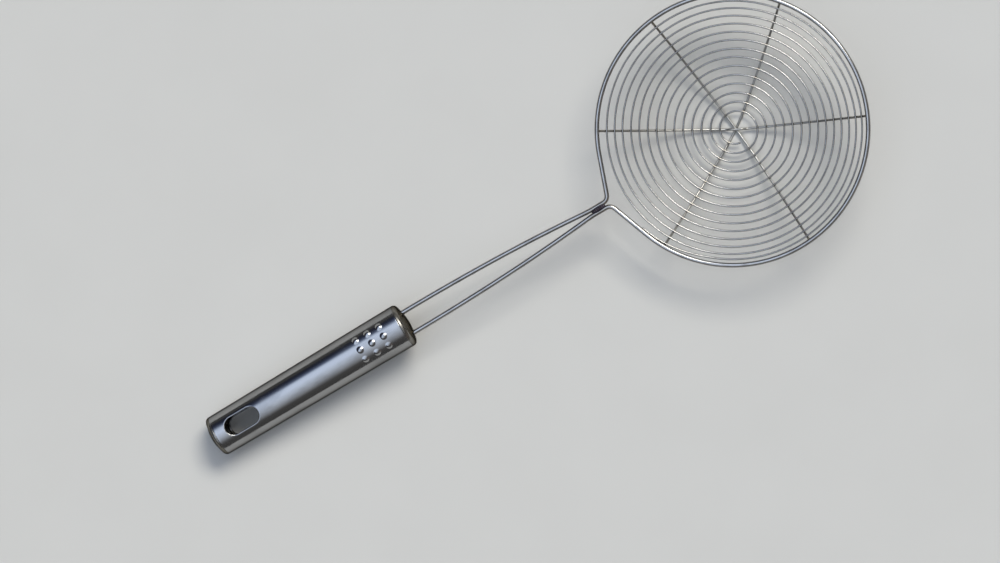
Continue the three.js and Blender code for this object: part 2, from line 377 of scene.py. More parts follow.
def nuggets(centres: Array, normal: Array, half_sizes: tuple[float, float, float]) -> Surface:
    """Small pillow-shaped lumps on a bowl: each is its centre plus the half sizes times a coarse sphere.

    Args:
        centres: middle of each lump.
        normal: direction off the bowl at each lump.
        half_sizes: half the lump's size round the bowl, up its slope and off it.

    Returns:
        All lumps in one surface.
    """
    around = unit(np.cross(normal, UP))
    axes = np.stack([around, np.cross(around, normal), normal], axis=1)
    rise = np.radians(np.linspace(-LUMP_POLE, LUMP_POLE, LUMP_RINGS))
    angle = ring_angles(LUMP_SIDES)
    ball = np.stack(
        [
            np.outer(np.cos(rise), np.cos(angle)),
            np.outer(np.cos(rise), np.sin(angle)),
            np.broadcast_to(np.sin(rise)[:, None], (LUMP_RINGS, LUMP_SIDES)),
        ],
        axis=-1,
    ).reshape(-1, 3)
    local = ball * np.array(half_sizes)
    points = (centres[:, None, :] + np.einsum("pa,kab->kpb", local, axes)).reshape(-1, 3)
    one = capped_tube(LUMP_RINGS, LUMP_SIDES)
    starts = range(0, len(points), len(ball))
    faces = [[number + start for number in face] for start in starts for face in one]
    return Surface(points, faces, points, np.ones(len(points)))


@dataclass(frozen=True)
class Maker:
    """Turns surfaces into finished pieces that ride on the frame.

    Attributes:
        placement: place of the tool in the row frame.
        box: lowest and highest corner of the solids, past which no piece reaches.
    """

    placement: Placement
    box: list[list[float]]

    def make(
        self,
        name: str,
        surface: Surface,
        material: bpy.types.Material,
        node: str | None = None,
        merge: bool = False,
    ) -> None:
        """Make one piece.

        Args:
            name: the piece's name.
            surface: its shape.
            material: its finish.
            node: the solid that it stands for.
            merge: whether patches are sewn together along their borders, with their faces turned out.
        """
        points = np.clip(self.placement.row(surface.points), *self.box)
        mesh = bpy.data.meshes.new(name)
        mesh.from_pydata(points, [], surface.faces)
        grain = mesh.attributes.new(GRAIN, "FLOAT_VECTOR", "POINT")
        grain.data.foreach_set("vector", (surface.grain * MM).astype(np.float32).ravel())
        heat = mesh.attributes.new(HEAT, "FLOAT", "POINT")
        heat.data.foreach_set("value", surface.heat.astype(np.float32))
        if merge:
            self.sew(mesh)
        mesh.shade_smooth()
        mesh.materials.append(material)
        piece = bpy.data.objects.new(name, mesh)
        bpy.context.scene.collection.objects.link(piece)
        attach(piece, BODY)
        if node:
            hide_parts(node)
        LOG.info("%s: %d points, %d faces", name, len(mesh.vertices), len(mesh.polygons))

    @staticmethod
    def sew(mesh: bpy.types.Mesh) -> None:
        """Merge points that coincide and turn the faces of the closed shell outwards."""
        shell = bmesh.new()
        shell.from_mesh(mesh)
        bmesh.ops.remove_doubles(shell, verts=shell.verts, dist=MERGE_MM * MM)
        bmesh.ops.recalc_face_normals(shell, faces=shell.faces)
        shell.to_mesh(mesh)
        shell.free()


@dataclass(frozen=True)
class SteelFinish:
    """Stainless steel: a bright grey metal whose working leaves fine lines along the piece.

    The lines pull reflections out sideways, smudges and stains dull the shine in patches, and heat near a
    weld leaves straw, brown and blue. Real working lines are a few hundredths of a millimetre wide, too fine
    to show in a render, so they are drawn coarser.

    Attributes:
        name: the material and how its surface was made.
        colour: sRGB of the clean metal.
        stain: sRGB of the metal under stains.
        edge: sRGB of the tint where the metal is seen at a grazing angle.
        roughness: of the clean metal.
        dulling: roughness that smudges add.
        line_mm: width of a working line.
        line_length_mm: length of a working line.
        line_depth_mm: depth of a working line.
        smudge_mm: size of a smudge.
        wave_mm: size of the gentle waves that polishing leaves.
        wave_depth_mm: depth of those waves.
        smudge_stretch: how many times longer than wide a smudge is.
        wave_stretch: how many times longer than wide a wave is.
        stain_span: levels of the noise between which the metal goes from clean to stained.
        line_share: roughness that a working line adds, as a share of the clean metal's.
    """

    name: str
    colour: str
    stain: str
    edge: str
    roughness: float
    dulling: float
    line_mm: float
    line_length_mm: float
    line_depth_mm: float
    smudge_mm: float
    wave_mm: float
    wave_depth_mm: float
    smudge_stretch: float = 2.5
    wave_stretch: float = 3.0
    stain_span: tuple[float, float] = (0.42, 0.72)
    line_share: float = 0.5

    def material(self) -> bpy.types.Material:
        """Build the finish as a node material on the grain and heat attributes."""
        made = bpy.data.materials.new(self.name)
        tree = cleared_tree(made)
        grain = add_node(tree, "ShaderNodeAttribute", attribute_name=GRAIN).outputs["Vector"]
        heat = add_node(tree, "ShaderNodeAttribute", attribute_name=HEAT).outputs["Fac"]
        lines = self.noise(tree, grain, self.line_mm, self.line_length_mm, detail=2.0)
        smudges = self.noise(tree, grain, self.smudge_mm, self.smudge_stretch * self.smudge_mm, detail=4.0)
        waves = self.noise(tree, grain, self.wave_mm, self.wave_stretch * self.wave_mm, detail=1.0)
        patch = add_node(
            tree,
            "ShaderNodeMapRange",
            {"Value": smudges, "From Min": self.stain_span[0], "From Max": self.stain_span[1]},
            interpolation_type="SMOOTHSTEP",
        ).outputs["Result"]
        colour = self.colours(tree, patch, heat)
        dull = add_node(
            tree,
            "ShaderNodeMath",
            {0: patch, 1: self.dulling, 2: self.roughness},
            operation="MULTIPLY_ADD",
        ).outputs[0]
        rough = add_node(
            tree,
            "ShaderNodeMath",
            {0: lines, 1: self.line_share * self.roughness, 2: dull},
            operation="MULTIPLY_ADD",
        ).outputs[0]
        wavy = add_node(
            tree,
            "ShaderNodeBump",
            {"Height": waves, "Distance": self.wave_depth_mm * MM, "Strength": 1.0},
        ).outputs["Normal"]
        lined = add_node(
            tree,
            "ShaderNodeBump",
            {"Height": lines, "Distance": self.line_depth_mm * MM, "Strength": 1.0, "Normal": wavy},
        ).outputs["Normal"]
        shader = add_node(
            tree,
            "ShaderNodeBsdfPrincipled",
            {
                "Base Color": colour,
                "Metallic": 1.0,
                "Roughness": rough,
                "Specular Tint": linear_colour(self.edge),
                "Normal": lined,
            },
        ).outputs["BSDF"]
        add_node(tree, "ShaderNodeOutputMaterial", {"Surface": shader})
        return made

    @staticmethod
    def noise(
        tree: bpy.types.NodeTree,
        grain: bpy.types.NodeSocket,
        width_mm: float,
        length_mm: float,
        detail: float,
    ) -> bpy.types.NodeSocket:
        """Noise whose lumps have the given length along the piece, and the width across and off it.

        Args:
            tree: the material's tree.
            grain: the pattern coordinates.
            width_mm: width of the lumps.
            length_mm: length of the lumps.
            detail: octaves of finer noise.

        Returns:
            The socket of the noise, about 0.5 on the mean.
        """
        scale = tuple(1.0 / (size * MM) for size in (length_mm, width_mm, width_mm))
        mapped = add_node(tree, "ShaderNodeMapping", {"Vector": grain, "Scale": scale}).outputs["Vector"]
        lumps = add_node(tree, "ShaderNodeTexNoise", {"Vector": mapped, "Scale": 1.0, "Detail": detail})
        return lumps.outputs["Fac"]

    def colours(
        self, tree: bpy.types.NodeTree, patch: bpy.types.NodeSocket, heat: bpy.types.NodeSocket
    ) -> bpy.types.NodeSocket:
        """Colour of the metal: clean, stained in patches, and tinted by heat.

        Args:
            tree: the material's tree.
            patch: share of stain.
            heat: share of heat.

        Returns:
            The colour's socket.
        """
        stained = add_node(
            tree,
            "ShaderNodeMix",
            {"Factor": patch, 6: linear_colour(self.colour), 7: linear_colour(self.stain)},
            data_type="RGBA",
        ).outputs[2]
        tint = add_node(tree, "ShaderNodeValToRGB", {"Fac": heat})
        set_ramp(tint, [(share, linear_colour(code)) for share, code in HEAT_COLOURS.items()])
        return add_node(
            tree,
            "ShaderNodeMix",
            {"Factor": 1.0, 6: stained, 7: tint.outputs["Color"]},
            data_type="RGBA",
            blend_type="MULTIPLY",
        ).outputs[2]


# Polished tube: close to a mirror, with long soft bands of light and dark along it and faint finger smudges.
POLISHED_TUBE = SteelFinish(
    name="stainless_steel_polished_tube",
    colour="#a5a5a5",
    stain="#989898",
    edge="#4c4842",
    roughness=0.1,
    dulling=0.1,
    line_mm=0.35,
    line_length_mm=40.0,
    line_depth_mm=0.0012,
    smudge_mm=7.0,
    wave_mm=6.0,
    wave_depth_mm=0.01,
)
# Pressed caps: duller, darker and browner than the tube, with a blurred highlight.
PRESSED_CAP = SteelFinish(
    name="stainless_steel_pressed_cap",
    colour="#8a8781",
    stain="#7a776f",
    edge="#4c4842",
    roughness=0.2,
    dulling=0.14,
    line_mm=0.5,
    line_length_mm=2.0,
    line_depth_mm=0.002,
    smudge_mm=4.0,
    wave_mm=3.0,
    wave_depth_mm=0.01,
)
# Heavy drawn wire: a bright line down the middle between two dark edges.
DRAWN_FRAME_WIRE = SteelFinish(
    name="stainless_steel_drawn_wire",
    colour="#aaa8a5",
    stain="#969491",
    edge="#5a5752",
    roughness=0.11,
    dulling=0.1,
    line_mm=0.3,
    line_length_mm=30.0,
    line_depth_mm=0.0005,
    smudge_mm=3.0,
    wave_mm=4.0,
    wave_depth_mm=0.004,
)
# Thin drawn wire: mid grey, flashing white where it turns across the light.
DRAWN_BOWL_WIRE = SteelFinish(
    name="stainless_steel_thin_drawn_wire",
    colour="#a5a39f",
    stain="#918f8b",
    edge="#7c766f",
    roughness=0.14,
    dulling=0.1,
    line_mm=0.2,
    line_length_mm=20.0,
    line_depth_mm=0.0004,
    smudge_mm=3.0,
    wave_mm=3.0,
    wave_depth_mm=0.003,
)
# Dull drawn wire: grey all round, with hardly any flash.
DRAWN_RIB_WIRE = SteelFinish(
    name="stainless_steel_dull_drawn_wire",
    colour="#a8a6a1",
    stain="#93918c",
    edge="#bdb9b2",
    roughness=0.28,
    dulling=0.12,
    line_mm=0.2,
    line_length_mm=20.0,
    line_depth_mm=0.0006,
    smudge_mm=3.0,
    wave_mm=3.0,
    wave_depth_mm=0.003,
)
# Weld metal: rough and rippled, dark blue to brown from the heat.
WELD_METAL = SteelFinish(
    name="stainless_steel_weld_metal",
    colour="#b0aca6",
    stain="#8d857c",
    edge="#7a746c",
    roughness=0.38,
    dulling=0.2,
    line_mm=0.4,
    line_length_mm=0.6,
    line_depth_mm=0.02,
    smudge_mm=1.2,
    wave_mm=1.0,
    wave_depth_mm=0.03,
)


class Rib(Enum):
    """The ribs under the spiral: node, level where they cross, and angles of their two ends in degrees."""

    TOP = ("rib_top", 1, (150.0, 334.9))
    MIDDLE = ("rib_middle", 0, (96.4, 274.1))
    BOTTOM = ("rib_bottom", -1, (38.8, 208.8))

    def __init__(self, node: str, level: int, ends: tuple[float, float]) -> None:
        """Name the values of each rib."""
        self.node = node
        self.level = level
        self.ends = ends


@dataclass(frozen=True)
class Gauges:
    """Wire diameters, and the clearance that the solids keep, in millimetres."""

    frame: float = 2.7
    spiral: float = 1.1
    rib: float = 1.4
    seat_gap: float = 0.3


@dataclass(frozen=True)
class Bowl:
    """Spiral bowl on three ribs. Lengths are in millimetres, angles in degrees from the side off the handle.

    Attributes:
        gauges: the wires.
        diameter: over the rim.
        depth: from the rim's centre line to the spiral's.
        turns: turns of the spiral.
        eye: distance of its inner end from the centre.
        start: angle of its inner end, from which it winds outwards clockwise.
        closing_turns: last part of the winding, which draws level with the rim.
        landing_turns: very last part, which runs out to the rim and is fixed to it.
        rim_clearance: from the outer turn to the rim.
        wander: how far the winding strays from its even spacing.
        crossing_run: half length of the level run where a rib crosses another.
        dip_reach: how far from the centre the bottom rib starts to dip.
        rest_flat: depth of the flat that the bottom rib stands on.
        rib_bury: how far a rib's end is fused into the rim.
        wander_waves: size, radians to a turn and phase of the waves that the straying is made of.
        spot_weld: half sizes of a spot weld round the bowl, up its slope and off it.
        rim_weld: half sizes of a weld under the rim, likewise.
        rim_weld_seat: place of a rib's weld outside the bowl, as a share of the rib's own.
        landing_weld_turn: how far short of the spiral's outer end its weld sits, in degrees.
        spot_tint: share of heat tint over a spot weld.
        spot_tint_reach: how far that tint reaches.
        end_tint: share of heat tint at a rib's end.
        end_tint_reach: how far that tint reaches.
        turn_steps: steps of the mesh in a turn of the spiral.
        rib_steps: steps of the mesh in each third of a rib.
        spiral_sides: points round the spiral's wire.
        rib_sides: points round a rib.
    """

    gauges: Gauges = Gauges()
    diameter: float = 160.0
    depth: float = 31.0
    turns: float = 14.16
    eye: float = 8.0
    start: float = 254.6
    closing_turns: float = 0.84
    landing_turns: float = 0.1
    rim_clearance: float = 2.7
    wander: float = 0.14
    crossing_run: float = 2.5
    dip_reach: float = 16.0
    rest_flat: float = 0.35
    rib_bury: float = 0.4
    wander_waves: tuple[tuple[float, float, float], ...] = (
        (1.0, 2.3, 0.0),
        (1.0, 2.06 * math.pi, 0.7),
        (0.6, 9.1, 0.0),
    )
    spot_weld: tuple[float, float, float] = (0.62, 0.5, 0.5)
    rim_weld: tuple[float, float, float] = (1.15, 0.85, 0.75)
    rim_weld_seat: float = 0.8
    landing_weld_turn: float = 1.0
    spot_tint: float = 0.2
    spot_tint_reach: float = 1.1
    end_tint: float = 0.5
    end_tint_reach: float = 2.2
    turn_steps: int = 110
    rib_steps: int = 60
    spiral_sides: int = 12
    rib_sides: int = 14

    @property
    def arms(self) -> list[float]:
        """Angles of all the ribs' ends."""
        return [end for rib in Rib for end in rib.ends]

    @property
    def rim_radius(self) -> float:
        """Radius of the rim's centre line."""
        return (self.diameter - self.gauges.frame) / 2

    @property
    def sphere_radius(self) -> float:
        """Radius of the spiral's sphere: (a^2 + d^2) / 2 d for a cap of radius a and depth d."""
        return (self.rim_radius**2 + self.depth**2) / (2 * self.depth)

    @property
    def rim_arc(self) -> float:
        """Length of the bowl's profile from the centre to the rim."""
        return self.sphere_radius * 2 * math.atan(self.depth / self.rim_radius)

    @property
    def rib_seat(self) -> float:
        """Distance of the ribs' centre lines outside the spiral's."""
        return (self.gauges.spiral + self.gauges.rib) / 2 + self.gauges.seat_gap

    @property
    def crossing_rise(self) -> float:
        """Height from rib to rib where they cross."""
        return self.gauges.rib + self.gauges.seat_gap

    @property
    def rest_height(self) -> float:
        """Distance from the rim's plane down to the flat under the bowl."""
        return self.depth + self.rib_seat + self.crossing_rise + self.gauges.rib / 2 - self.rest_flat

    def point(self, along: Array, angle: Array, outside: Array | float) -> Array:
        """Points on the bowl: on a sphere of radius R + outside, at the polar angle along / R.

        Args:
            along: distance from the centre along the bowl's profile.
            angle: angle round the bowl, in radians.
            outside: distance outside the spiral's centre line.

        Returns:
            The points.
        """
        polar = along / self.sphere_radius
        radius = (self.sphere_radius + outside) * np.sin(polar)
        height = self.sphere_radius - self.depth - (self.sphere_radius + outside) * np.cos(polar)
        return np.stack([radius * np.cos(angle), radius * np.sin(angle), height], axis=-1)

    def normal(self, points: Array) -> Array:
        """Directions from the sphere's centre through points."""
        return unit(points - np.array([0.0, 0.0, self.sphere_radius - self.depth]))

    def winding(self, turns: Array) -> Array:
        """Distance along the profile after some turns: even, easing to level in the closing turn, then out.

        Args:
            turns: turns from the inner end.

        Returns:
            The distances from the centre.
        """
        outer = self.rim_arc - self.gauges.frame / 2 - self.gauges.spiral / 2 - self.rim_clearance
        pitch = (outer - self.eye) / (self.turns - self.closing_turns / 2)
        closing = np.maximum(0.0, turns - (self.turns - self.closing_turns))
        even = self.eye + pitch * (turns - closing**2 / (2 * self.closing_turns))
        stray = sum(size * np.sin(rate * turns + phase) for size, rate, phase in self.wander_waves)
        landing = smoothstep(self.turns - self.landing_turns, self.turns, turns)
        return even + self.wander / 2 * stray * (1 - landing) + self.rim_clearance * landing

    def spiral(self) -> Surface:
        """Spiral wire: the winding on the bowl's sphere, with the tint of the spot welds over each rib."""
        turns = np.linspace(0.0, self.turns, math.ceil(self.turns * self.turn_steps) + 1)
        angle = np.radians(self.start) - 2 * math.pi * turns
        along = self.winding(turns)
        route = self.point(along, angle, 0.0)
        arms = np.radians(self.arms)
        off = np.abs((angle[:, None] - arms + math.pi) % (2 * math.pi) - math.pi).min(axis=1) * along
        heat = self.spot_tint * np.exp(-((off / self.spot_tint_reach) ** 2))
        return swept_wire(route, self.normal(route), self.gauges.spiral, self.spiral_sides, heat)

    def rib(self, rib: Rib) -> Surface:
        """A rib: straight in plan from each end to near the centre, and a parabola through it.

        Args:
            rib: which of the ribs.

        Returns:
            The rib's wire, which passes over, between or under the others at the centre.
        """
        zone = self.eye - (self.gauges.spiral + self.gauges.rib) / 2 if rib.level > 0 else self.dip_reach
        fused = self.gauges.frame / 2 - self.rib_bury
        end = self.rim_arc - math.sqrt(max(0.0, fused**2 - (self.rib_seat - self.gauges.rib / 2) ** 2))
        first, second = (np.array([math.cos(math.radians(a)), math.sin(math.radians(a))]) for a in rib.ends)
        share = np.linspace(0.0, 1.0, self.rib_steps + 1)[:, None]
        inward = first * (end + (zone - end) * share)
        across = (1 - share) ** 2 * first * zone + share**2 * second * zone
        outward = second * (zone + (end - zone) * share)
        plan = np.concatenate([inward, across[1:], outward[1:]])
        along = np.linalg.norm(plan, axis=1)
        rise = rib.level * self.crossing_rise * (1 - smoothstep(self.crossing_run, zone, along))
        route = self.point(along, np.arctan2(plan[:, 1], plan[:, 0]), self.rib_seat - rise)
        heat = self.end_tint * np.exp(-(((end - along) / self.end_tint_reach) ** 2))
        return swept_wire(route, self.normal(route), self.gauges.rib, self.rib_sides, heat)

    def spot_welds(self) -> Surface:
        """Spot welds: a nugget in the gap wherever the spiral lies on a rib."""
        centres = []
        for rib in Rib:
            nearest = self.eye if rib.level > 0 else self.dip_reach
            for end in rib.ends:
                turns = ((self.start - end) % 360.0) / 360.0 + np.arange(math.ceil(self.turns))
                along = self.winding(turns[turns < self.turns])
                along = along[along > nearest]
                centres.append(self.point(along, np.full(len(along), math.radians(end)), self.rib_seat / 2))
        middle = np.concatenate(centres)
        return nuggets(middle, self.normal(middle), self.spot_weld)

    def rim_welds(self) -> Surface:
        """Welds that fix the ribs' ends and the spiral's outer end under the rim."""
        landing = self.start - 360.0 * self.turns + self.landing_weld_turn
        angle = np.radians([*self.arms, landing])
        reach = np.full(len(angle), self.rim_arc - self.gauges.frame / 2)
        outside = np.full(len(angle), self.rib_seat * self.rim_weld_seat)
        outside[-1] = self.gauges.spiral / 2
        middle = self.point(reach, angle, outside)
        return nuggets(middle, self.normal(middle), self.rim_weld)

    def build(self, maker: Maker) -> None:
        """Make and dress the spiral, the ribs and their welds.

        Args:
            maker: what turns surfaces into pieces.
        """
        rib_wire = DRAWN_RIB_WIRE.material()
        weld = WELD_METAL.material()
        maker.make("spiral_wire_wound", self.spiral(), DRAWN_BOWL_WIRE.material(), "spiral_wire")
        for rib in Rib:
            maker.make(f"{rib.node}_wire", self.rib(rib), rib_wire, rib.node)
        maker.make("bowl_spot_welds", self.spot_welds(), weld)
        maker.make("rim_welds", self.rim_welds(), weld)


@dataclass(frozen=True)
class FrameWire:
    """One wire bent into rim, neck and stem. Lengths are in millimetres.

    Attributes:
        bowl: the bowl that the rim carries.
        neck_spread: degrees each side of the stem at which the rim leaves its circle.
        neck_bend: radius of the bends from rim to stem.
        neck_run: length over which the legs run side by side.
        neck_gap: between the legs there.
        weld_crown: height of the neck's weld over the wires.
        stem_reach: from the bowl's centre to the handle's front.
        stem_spread: between the legs at the handle.
        leg_flare: short run over which the legs start to part behind the neck.
        leg_sweep: long run over which they straighten towards the handle.
        leg_lead: straight lead of each leg into the handle.
        leg_insert: length of each leg inside the handle.
        step: spacing of the route's points.
        bend_reach: points on each side over which bends are rounded off.
        rim_points: points on each half of the rim before they are evenly spaced.
        bend_points: points on a neck bend, likewise.
        leg_points: points on a leg, likewise.
        sides: points round the wire.
        neck_tint: share of heat tint on the wire beside the weld.
        neck_tint_reach: how far that tint reaches.
        weld_width: half width of the weld, as a share of the legs' distance from the middle.
        weld_ripple: rise of a ripple, as a share of the weld's height.
        ripple_pitch: from ripple to ripple.
        ripple_tint: how much the share of heat tint grows with a ripple's rise.
        weld_tint: share of heat tint on the weld's sides.
        crest_painted_highlight: how much paler the tint is on the weld's crest, a painted highlight.
        weld_rows: rings of the mesh along the weld.
        weld_sides: points round the weld.
    """

    bowl: Bowl
    neck_spread: float = 20.0
    neck_bend: float = 3.8
    neck_run: float = 9.0
    neck_gap: float = 0.6
    weld_crown: float = 0.5
    stem_reach: float = 219.0
    stem_spread: float = 13.4
    leg_flare: float = 5.0
    leg_sweep: float = 75.0
    leg_lead: float = 3.0
    leg_insert: float = 14.0
    step: float = 0.6
    bend_reach: int = 4
    rim_points: int = 200
    bend_points: int = 24
    leg_points: int = 80
    sides: int = 20
    neck_tint: float = 0.12
    neck_tint_reach: float = 4.0
    weld_width: float = 0.95
    weld_ripple: float = 0.07
    ripple_pitch: float = 1.25
    ripple_tint: float = 1.2
    weld_tint: float = 0.82
    crest_painted_highlight: float = 0.12
    weld_rows: int = 90
    weld_sides: int = 24

    @property
    def leg_y(self) -> float:
        """Distance of the legs from the middle, at the neck."""
        return (self.bowl.gauges.frame + self.neck_gap) / 2

    @property
    def neck_x(self) -> float:
        """Where the bends end and the legs start to run side by side."""
        spread = math.radians(self.neck_spread)
        radius = self.bowl.rim_radius
        corner = -radius * math.cos(spread) - (radius * math.sin(spread) - self.leg_y) * math.tan(spread)
        return corner - self.neck_bend * math.tan((math.pi / 2 - spread) / 2)

    def route(self) -> Array:
        """Centre line: leg, neck bend, rim circle, neck bend and leg, evenly spaced, with rounded bends."""
        spread = math.radians(self.neck_spread)
        circle = np.linspace(0.0, math.pi - spread, self.rim_points)
        rim = self.bowl.rim_radius * np.stack([np.cos(circle), np.sin(circle)], axis=1)
        turn = np.linspace(-spread, -math.pi / 2, self.bend_points)
        bend = self.neck_bend * np.stack([np.cos(turn), np.sin(turn)], axis=1)
        bend += [self.neck_x, self.leg_y + self.neck_bend]
        tip = np.array([[-self.stem_reach - self.leg_insert, self.stem_spread / 2]])
        half = np.concatenate([rim, bend, self.leg_bow(), tip])
        whole = np.concatenate([half[:0:-1] * [1.0, -1.0], half])
        plan = softened(resampled(whole, self.step), self.bend_reach)
        return np.pad(plan, ((0, 0), (0, 1)))

    def leg_bow(self) -> Array:
        """Bow of a leg from the neck to the handle: a cubic curve, level with the tool at both ends."""
        parting = np.array([self.neck_x - self.neck_run, self.leg_y])
        entry = np.array([self.leg_lead - self.stem_reach, self.stem_spread / 2])
        share = np.linspace(0.0, 1.0, self.leg_points)[:, None]
        rest = 1.0 - share
        return (
            rest**3 * parting
            + 3 * rest**2 * share * (parting - [self.leg_flare, 0.0])
            + 3 * rest * share**2 * (entry + [self.leg_sweep, 0.0])
            + share**3 * entry
        )

    def wire(self) -> Surface:
        """The frame wire, with the weld's heat tint at the neck."""
        route = self.route()
        normal = np.broadcast_to(UP, route.shape)
        middle = self.neck_x - self.neck_run / 2
        off = np.maximum(0.0, np.abs(route[:, 0] - middle) - self.neck_run / 2)
        near = np.abs(route[:, 1]) < self.bowl.rim_radius / 4
        heat = self.neck_tint * np.exp(-((off / self.neck_tint_reach) ** 2)) * near
        return swept_wire(route, normal, self.bowl.gauges.frame, self.sides, heat)

    def neck_weld(self) -> Surface:
        """Weld bead between the legs: an ellipse carried along X, with ripples and tapered ends.

        Point (i, j) is (x_i, w_i cos a_j, m + h_i sin a_j). Half width w and half height h shrink towards the
        ends as the power 0.35 of 1 - s^2. Each ripple swells h, and w by half as much. The tint is dark down
        the bead's sides, with a paler streak painted along its crest as a highlight.
        """
        tip = 0.995  # share of the run at which the last ring lies, so that it still has a size
        share = np.linspace(-tip, tip, self.weld_rows)
        x = self.neck_x - self.neck_run / 2 * (1 - share)
        taper = (1 - share**2) ** 0.35
        ripple = self.weld_ripple * np.sin(2 * math.pi * x / self.ripple_pitch)
        angle = ring_angles(self.weld_sides)
        top = self.bowl.gauges.frame / 2 + self.weld_crown
        half_height = top / 3
        middle = top - half_height
        half_width = self.weld_width * self.leg_y
        y = (half_width * taper * (1 + ripple / 2))[:, None] * np.cos(angle)
        z = middle + (half_height * taper * (1 + ripple))[:, None] * np.sin(angle)
        points = np.stack([np.broadcast_to(x[:, None], y.shape), y, z], axis=-1).reshape(-1, 3)
        # Painted highlight: the bead's tint is made paler along its top crest, where the light would shine.
        crest = np.maximum(0.0, np.sin(angle)) ** 6
        heat = (self.weld_tint + self.ripple_tint * ripple)[:, None] - self.crest_painted_highlight * crest
        return Surface(points, capped_tube(self.weld_rows, self.weld_sides), points, heat.ravel())

    def build(self, maker: Maker) -> None:
        """Make and dress the frame wire and the neck's weld.

        Args:
            maker: what turns surfaces into pieces.
        """
        maker.make("frame_wire_bent", self.wire(), DRAWN_FRAME_WIRE.material(), "frame_wire")
        maker.make("neck_weld_bead", self.neck_weld(), WELD_METAL.material(), "neck_weld", merge=True)


@dataclass(frozen=True)
class Handle:
    """Hollow handle: a tapered tube with grip dots and a hanging slot, and two caps.

    Lengths are in millimetres.

    Attributes:
        front: place of the front face along X.
        length: from face to face.
        front_diameter: of the tube at its front.
        butt_diameter: of the tube at its butt.
        wall: of the tube.
        cap_shoulder: radius of the caps' rounded edges.
        cap_dome: rise of the caps' faces.
        cap_wall: of the caps.
        cap_skirt: depth of the caps' skirts in the tube.
        cap_seat: clearance round the skirts.
        seam: width of the fine seam between cap and tube.
        slot_length: of the hanging slot.
        slot_width: of the hanging slot.
        slot_from_butt: from the butt to the slot.
        lip: thickness of the slot's turned-in edge.
        lip_depth: how far the edge turns in below the wall.
        lip_round: radius of the slot's outer edge.
        foot_round: radius of the round where the turned-in edge meets the wall's inside.
        dot_count: dots along the handle, and round it.
        dot_first: from the front to the first dots.
        dot_pitch: along the handle.
        dot_step: degrees round the handle.
        dot_width: of a dot.
        dot_height: of a dot.
        dot_round: size of the round where a dot meets the tube.
        dot_foot: height of a dot's parabola past which the tube stays plain.
        tube_edge: radius of the round on the tube's ends.
        cap_undercut: how far in from the tube's surface the hidden part of a cap starts.
        cap_step: spacing of the points on a cap's face.
        cap_blend: points on each side over which a cap's face is rounded off.
        cap_segments: points round a cap.
        slot_margins: from the slot to the two ends of its patch of the mesh, front and back.
        lead_lines: steps of the mesh from the tube's front to the dots.
        dot_lines: steps of the mesh along the dots.
        grip_lines: steps of the mesh from the dots to the slot's patch.
        butt_lines: steps of the mesh from the patch to the butt, outside and inside.
        inner_lines: steps of the mesh inside, from the patch to the front.
        slot_lines: steps of the mesh along the slot's patch.
        patch_lines: steps of the mesh round the top and round the bottom.
        side_lines: steps of the mesh round each side.
        patch_turn: half angle of the top's and the bottom's patch, in degrees.
    """

    front: float
    length: float = 134.5
    front_diameter: float = 26.6
    butt_diameter: float = 24.4
    wall: float = 0.8
    cap_shoulder: float = 2.6
    cap_dome: float = 1.8
    cap_wall: float = 1.0
    cap_skirt: float = 5.0
    cap_seat: float = 0.3
    seam: float = 0.08
    slot_length: float = 21.8
    slot_width: float = 10.6
    slot_from_butt: float = 11.2
    lip: float = 0.8
    lip_depth: float = 1.6
    lip_round: float = 0.7
    foot_round: float = 0.4
    dot_count: int = 3
    dot_first: float = 15.6
    dot_pitch: float = 7.9
    dot_step: float = 28.0
    dot_width: float = 4.2
    dot_height: float = 0.7
    dot_round: float = 0.05
    dot_foot: float = -1.0
    tube_edge: float = 0.2
    cap_undercut: float = 0.15
    cap_step: float = 0.25
    cap_blend: int = 3
    cap_segments: int = 120
    slot_margins: tuple[float, float] = (5.0, 3.0)
    lead_lines: int = 8
    dot_lines: int = 88
    grip_lines: int = 26
    butt_lines: tuple[int, int] = (4, 3)
    inner_lines: int = 11
    slot_lines: int = 44
    patch_lines: int = 96
    side_lines: int = 14
    patch_turn: float = 60.0

    def radius(self, back: Array) -> Array:
        """Outer radius at a distance back from the front: an even taper."""
        return (self.front_diameter + (self.butt_diameter - self.front_diameter) * back / self.length) / 2

    def point(self, back: Array, turn: Array, depth: Array) -> Array:
        """Points of the handle: at the angle turn from the top, at a depth below the taper's surface.

        Args:
            back: distance back from the front.
            turn: angle from the top towards +Y, in radians.
            depth: below the surface.

        Returns:
            The points.
        """
        reach = self.radius(back) - depth
        axes = np.broadcast_arrays(self.front - back, reach * np.sin(turn), reach * np.cos(turn))
        return np.stack(axes, axis=-1)

    def dots(self, back: Array, turn: Array) -> Array:
        """Height of the grip dots: parabolas h (1 - (d / a)^2) that meet the tube in a small round.

        Args:
            back: distance back from the front.
            turn: angle from the top, in radians.

        Returns:
            The height over the tube's surface.
        """
        count = np.arange(self.dot_count)
        dot_back = self.dot_first + count * self.dot_pitch
        dot_turn = np.radians((count - (self.dot_count - 1) / 2) * self.dot_step)
        along = back[..., None, None] - dot_back[:, None]
        wrapped = (turn[..., None, None] - dot_turn + math.pi) % (2 * math.pi) - math.pi
        across = wrapped * self.radius(back)[..., None, None]
        height = self.dot_height * (1 - (along**2 + across**2) / (self.dot_width / 2) ** 2)
        raised = (height + np.sqrt(height**2 + self.dot_round**2)) / 2
        near = height.max(axis=(-1, -2)) > self.dot_foot
        return raised.max(axis=(-1, -2)) * near

    @property
    def slot_patch(self) -> tuple[float, float]:
        """Where the mesh patch round the slot starts and ends, back from the front."""
        end = self.length - self.slot_from_butt
        return end - self.slot_length - self.slot_margins[0], end + self.slot_margins[1]

    @property
    def slot_middle(self) -> float:
        """Middle of the slot, back from the front."""
        return self.length - self.slot_from_butt - self.slot_length / 2

